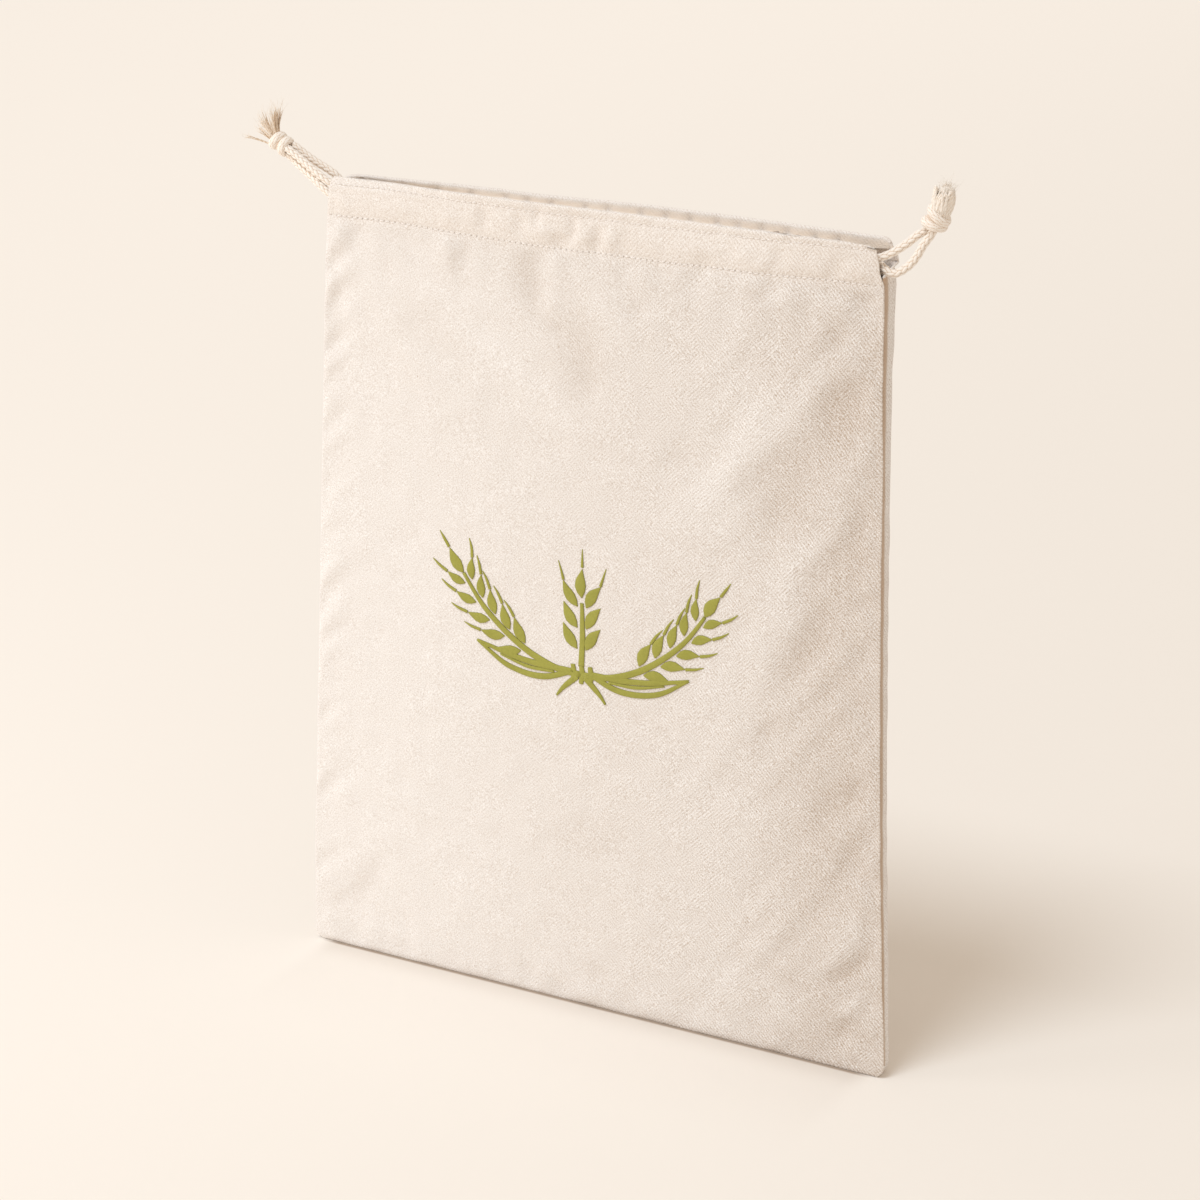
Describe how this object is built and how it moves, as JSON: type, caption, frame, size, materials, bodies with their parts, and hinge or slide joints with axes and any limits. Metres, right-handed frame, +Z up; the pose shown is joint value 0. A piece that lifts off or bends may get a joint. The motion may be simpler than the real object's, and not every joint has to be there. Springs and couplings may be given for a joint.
{
  "type": "bread bag",
  "caption": "Flat drawstring bag of natural linen for bread, standing upright, with a sewn heading and cords that are knotted and frayed at both sides.",
  "frame": {"origin": "on the ground under the middle of the bag", "axes": "+Z up, +X to the right of the front panel, +Y towards the back panel"},
  "size_m": [0.3453, 0.0244, 0.4052],
  "materials": {
    "linen": "woven natural linen, matt, with small brown flecks",
    "cord": "braided cotton, matt"
  },
  "bodies": {
    "root": {"front_panel": "linen", "back_panel": "linen", "cord_left": "cord", "cord_right": "cord", "cord_left_third": "cord", "knot_left": "cord", "knot_right": "cord", "tassel_left": "cord", "tassel_right": "cord"}
  },
  "joints": []
}
